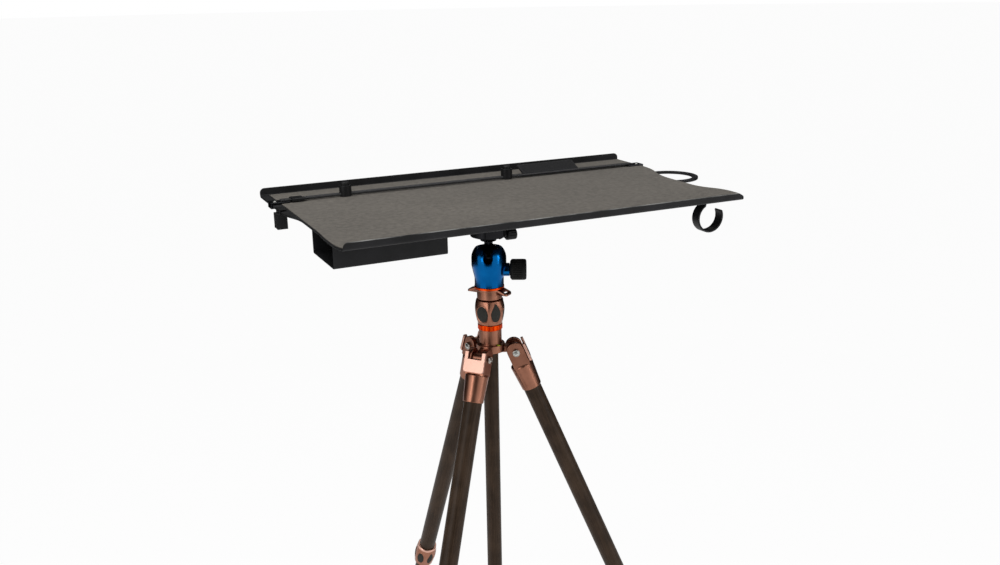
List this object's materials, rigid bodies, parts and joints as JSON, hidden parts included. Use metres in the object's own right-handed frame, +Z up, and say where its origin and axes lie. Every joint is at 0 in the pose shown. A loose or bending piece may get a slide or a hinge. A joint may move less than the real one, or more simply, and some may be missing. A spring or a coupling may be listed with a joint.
{
  "type": "tethering table",
  "caption": "Laptop table of bent sheet with a strap, drive tray, cup ring and hook, on a ball head and a folding tripod with twist-lock legs and a centre column.",
  "frame": {"origin": "on the floor, at the middle of the bounding box", "axes": "+X along the table to the right seen from its front, +Y to the back, +Z up along the column"},
  "size_m": [0.7342, 0.667, 1.1399],
  "materials": {
    "sheet_black": "matte black powder coat with bare edges",
    "wrap_grey": "brown-grey non-slip skin, fine mottle",
    "black_anodised": "satin black anodised",
    "steel": "bright zinc plated",
    "black_steel": "black oxide",
    "black_plastic": "moulded, fine grain",
    "webbing": "woven nylon",
    "elastic": "braided sleeve over rubber",
    "ball_black": "hard anodised, polished",
    "blue_anodised": "satin anodised blue",
    "orange_anodised": "anodised orange",
    "bronze_anodised": "satin anodised bronze",
    "copper_anodised": "fine bead-blasted pale copper",
    "tube_brown": "satin dark brown carbon tube",
    "rubber": "moulded",
    "nylon": "natural nylon",
    "level_glass": "yellow-green fluid under a clear lens"
  },
  "bodies": {
    "hub": {"spider": "bronze_anodised", "hinge_bolts": "steel", "bubble_level": "level_glass"},
    "knurled_ring": {"knurled_ring": "orange_anodised"},
    "column_lock": {"column_lock": "bronze_anodised"},
    "column": {"column_tube": "tube_brown", "column_cap": "bronze_anodised", "top_mount": "bronze_anodised", "loop_plate": "bronze_anodised", "pan_ring": "orange_anodised"},
    "head": {"head_housing": "blue_anodised", "ball_cup": "nylon"},
    "lock_knob": {"lock_knob": "rubber"},
    "ball": {"ball": "ball_black"},
    "table": {"ball_stem": "ball_black", "head_clamp": "black_anodised", "quick_release_plate": "black_anodised", "plate_screw": "steel", "mounting_block": "black_anodised", "table_plate": "sheet_black", "top_wrap": "wrap_grey", "underside_screws": "black_steel", "drive_compartment": "sheet_black", "cup_holder_bracket": "black_anodised", "pivot_screws": "steel", "cable_clip": "black_plastic", "strap_hook_left": "black_steel", "strap_hook_right": "black_steel", "webbing_left": "webbing", "webbing_right": "webbing", "tri_glide_buckle": "black_plastic", "elastic_cord": "elastic"},
    "cup_holder": {"cup_holder": "sheet_black"},
    "cable_hook": {"cable_hook": "black_plastic"},
    "cord_lock_left": {"cord_lock_left": "black_plastic"},
    "cord_lock_right": {"cord_lock_right": "black_plastic"},
    "button_left": {"cord_lock_left_button": "black_plastic"},
    "button_right": {"cord_lock_right_button": "black_plastic"},
    "clamp_jaw": {"clamp_jaw": "black_anodised"},
    "clamp_knob": {"clamp_knob": "black_anodised"},
    "leg_1": {"leg_1_crown": "bronze_anodised", "leg_1_upper_tube": "tube_brown"},
    "leg_1_latch": {"leg_1_latch": "copper_anodised"},
    "leg_1_twist_lock": {"leg_1_twist_lock": "bronze_anodised"},
    "leg_1_lower": {"leg_1_lower_tube": "tube_brown", "leg_1_foot": "rubber"},
    "leg_2": {"leg_2_crown": "bronze_anodised", "leg_2_upper_tube": "tube_brown"},
    "leg_2_latch": {"leg_2_latch": "copper_anodised"},
    "leg_2_twist_lock": {"leg_2_twist_lock": "bronze_anodised"},
    "leg_2_lower": {"leg_2_lower_tube": "tube_brown", "leg_2_foot": "rubber"},
    "leg_3": {"leg_3_crown": "bronze_anodised", "leg_3_upper_tube": "tube_brown"},
    "leg_3_latch": {"leg_3_latch": "copper_anodised"},
    "leg_3_twist_lock": {"leg_3_twist_lock": "bronze_anodised"},
    "leg_3_lower": {"leg_3_lower_tube": "tube_brown", "leg_3_foot": "rubber"}
  },
  "joints": [
    {"name": "column_lift", "type": "slide", "parent": "hub", "child": "column", "axis": [0, 0, 1], "range_m": [0, 0.3]},
    {"name": "column_lock_turn", "type": "hinge", "parent": "hub", "child": "column_lock", "pos_m": [-0.04594, -0.07058, 0.93471], "axis": [0, 0, 1], "range_deg": [0, 90]},
    {"name": "knurled_ring_turn", "type": "hinge", "parent": "hub", "child": "knurled_ring", "pos_m": [-0.04594, -0.07058, 0.91721], "axis": [0, 0, 1], "range_deg": [0, 180]},
    {"name": "pan", "type": "hinge", "parent": "column", "child": "head", "pos_m": [-0.04594, -0.07058, 0.98011], "axis": [0, 0, 1], "continuous": true},
    {"name": "lock_knob_turn", "type": "hinge", "parent": "head", "child": "lock_knob", "pos_m": [-0.01857, -0.08513, 1.00411], "axis": [0.8829, -0.4695, 0], "range_deg": [0, 270]},
    {"name": "tilt_forward", "type": "hinge", "parent": "head", "child": "ball", "pos_m": [-0.04594, -0.07058, 1.02811], "axis": [1, 0, 0], "range_deg": [-25, 25]},
    {"name": "tilt_sideways", "type": "hinge", "parent": "ball", "child": "table", "pos_m": [-0.04594, -0.07058, 1.02811], "axis": [0, 1, 0], "range_deg": [-25, 25]},
    {"name": "cup_holder_swing", "type": "hinge", "parent": "table", "child": "cup_holder", "pos_m": [0.23606, -0.00858, 1.09981], "axis": [0, 0, 1], "range_deg": [-120, 0]},
    {"name": "cable_hook_swivel", "type": "hinge", "parent": "table", "child": "cable_hook", "pos_m": [0.24406, -0.21558, 1.11351], "axis": [0, 0, 1], "range_deg": [-90, 90]},
    {"name": "cord_lock_left_slide", "type": "slide", "parent": "table", "child": "cord_lock_left", "axis": [1, 0, 0], "range_m": [-0.03, 0.12]},
    {"name": "cord_lock_right_slide", "type": "slide", "parent": "table", "child": "cord_lock_right", "axis": [1, 0, 0], "range_m": [-0.12, 0.006]},
    {"name": "button_left_press", "type": "slide", "parent": "cord_lock_left", "child": "button_left", "axis": [0, 0, 1], "range_m": [-0.004, 0], "stiffness_N_per_m": 600, "springref_m": 0.003},
    {"name": "button_right_press", "type": "slide", "parent": "cord_lock_right", "child": "button_right", "axis": [0, 0, 1], "range_m": [-0.004, 0], "stiffness_N_per_m": 600, "springref_m": 0.003},
    {"name": "clamp_jaw_slide", "type": "slide", "parent": "table", "child": "clamp_jaw", "axis": [1, 0, 0], "range_m": [0, 0.0025]},
    {"name": "clamp_knob_turn", "type": "hinge", "parent": "clamp_jaw", "child": "clamp_knob", "pos_m": [-0.01964, -0.07058, 1.05461], "axis": [1, 0, 0], "range_deg": [0, 720]},
    {"name": "leg_1_fold", "type": "hinge", "parent": "hub", "child": "leg_1", "pos_m": [-0.07547, -0.09449, 0.87421], "axis": [0.6293, -0.7771, 0], "range_deg": [0, 22.5]},
    {"name": "leg_1_latch_pull", "type": "slide", "parent": "leg_1", "child": "leg_1_latch", "axis": [-0.718, -0.5814, 0.3827], "range_m": [0, 0.004], "stiffness_N_per_m": 900, "springref_m": -0.003},
    {"name": "leg_1_lock_turn", "type": "hinge", "parent": "leg_1", "child": "leg_1_twist_lock", "pos_m": [-0.22566, -0.21611, 0.40765], "axis": [0.2974, 0.2408, 0.9239], "range_deg": [0, 90]},
    {"name": "leg_1_slide", "type": "slide", "parent": "leg_1", "child": "leg_1_lower", "axis": [0.2974, 0.2408, 0.9239], "range_m": [0, 0.37]},
    {"name": "leg_2_fold", "type": "hinge", "parent": "hub", "child": "leg_2", "pos_m": [-0.01047, -0.0842, 0.87421], "axis": [0.3584, 0.9336, 0], "range_deg": [0, 22.5]},
    {"name": "leg_2_latch_pull", "type": "slide", "parent": "leg_2", "child": "leg_2_latch", "axis": [0.8625, -0.3311, 0.3827], "range_m": [0, 0.004], "stiffness_N_per_m": 900, "springref_m": -0.003},
    {"name": "leg_2_lock_turn", "type": "hinge", "parent": "leg_2", "child": "leg_2_twist_lock", "pos_m": [0.16995, -0.15345, 0.40765], "axis": [-0.3573, 0.1371, 0.9239], "range_deg": [0, 90]},
    {"name": "leg_2_slide", "type": "slide", "parent": "leg_2", "child": "leg_2_lower", "axis": [-0.3573, 0.1371, 0.9239], "range_m": [0, 0.37]},
    {"name": "leg_3_fold", "type": "hinge", "parent": "hub", "child": "leg_3", "pos_m": [-0.05189, -0.03305, 0.87421], "axis": [-0.9877, -0.1564, 0], "range_deg": [0, 22.5]},
    {"name": "leg_3_latch_pull", "type": "slide", "parent": "leg_3", "child": "leg_3_latch", "axis": [-0.1445, 0.9125, 0.3827], "range_m": [0, 0.004], "stiffness_N_per_m": 900, "springref_m": -0.003},
    {"name": "leg_3_lock_turn", "type": "hinge", "parent": "leg_3", "child": "leg_3_twist_lock", "pos_m": [-0.08212, 0.15783, 0.40765], "axis": [0.0599, -0.378, 0.9239], "range_deg": [0, 90]},
    {"name": "leg_3_slide", "type": "slide", "parent": "leg_3", "child": "leg_3_lower", "axis": [0.0599, -0.378, 0.9239], "range_m": [0, 0.37]}
  ],
  "couplings": [
    {"joint": "clamp_knob_turn", "follows": "clamp_jaw_slide", "rad_per_m": 5026.5}
  ]
}
